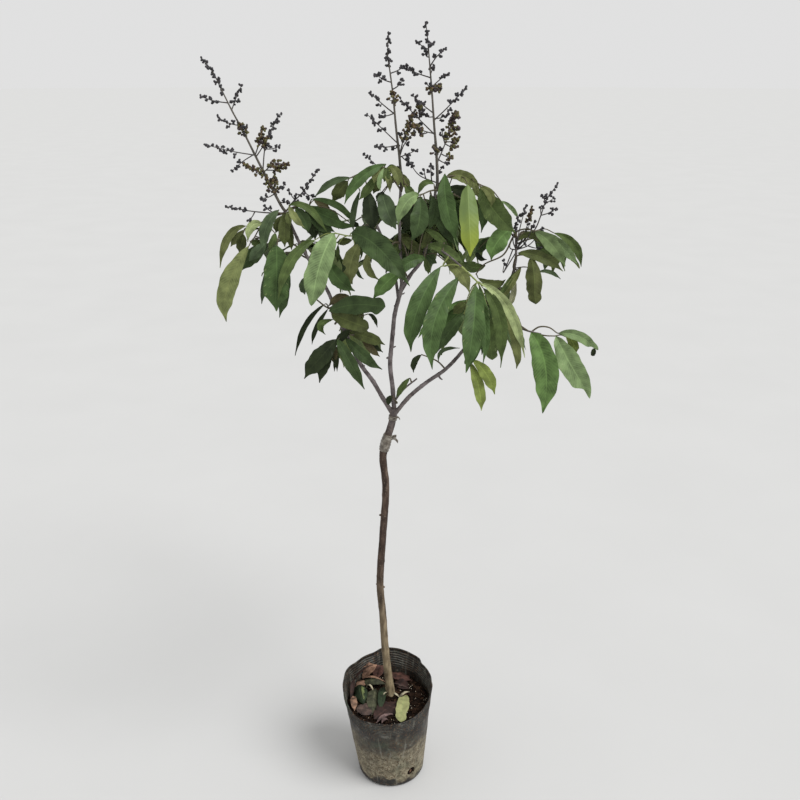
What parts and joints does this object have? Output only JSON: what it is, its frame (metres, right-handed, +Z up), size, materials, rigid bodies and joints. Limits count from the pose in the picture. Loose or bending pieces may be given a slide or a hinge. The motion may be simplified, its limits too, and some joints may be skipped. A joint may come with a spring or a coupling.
{
  "type": "potted lychee sapling",
  "caption": "Grafted young lychee tree with drooping compound leaves and upright bud panicles, in a soft black nursery pot.",
  "frame": {"origin": "centre of the flat underside of the pot", "axes": "+Z up along the trunk, -Y towards the front of the plant, +X to its right as seen from the front"},
  "size_m": [0.5721, 0.3559, 1.2511],
  "materials": {
    "pot_plastic": "matte",
    "soil": "matte",
    "bark": "matte",
    "film": "satin",
    "leaf": "satin",
    "flower_buds": "matte"
  },
  "bodies": {
    "root": {"pot": "pot_plastic", "soil": "soil", "trunk": "bark", "graft_film": "film", "upper_tie": "film", "leader": "bark", "left_bough": "bark", "right_bough": "bark", "fork_twig": "bark", "centre_left_shoot": "bark", "centre_right_shoot": "bark", "back_left_shoot": "bark", "back_right_shoot": "bark", "back_low_shoot": "bark", "front_stalk": "bark", "far_right_stalk": "bark", "left_panicle": "flower_buds", "left_low_panicle": "flower_buds", "left_inner_panicle": "flower_buds", "centre_left_panicle": "flower_buds", "centre_right_panicle": "flower_buds", "right_panicle": "flower_buds", "left_foliage": "leaf", "lower_left_foliage": "leaf", "centre_left_foliage": "leaf", "centre_foliage": "leaf", "upper_right_foliage": "leaf", "front_right_foliage": "leaf", "right_low_foliage": "leaf", "far_right_foliage": "leaf", "right_foliage": "leaf", "back_left_foliage": "leaf", "back_right_foliage": "leaf", "back_low_foliage": "leaf"}
  },
  "joints": []
}
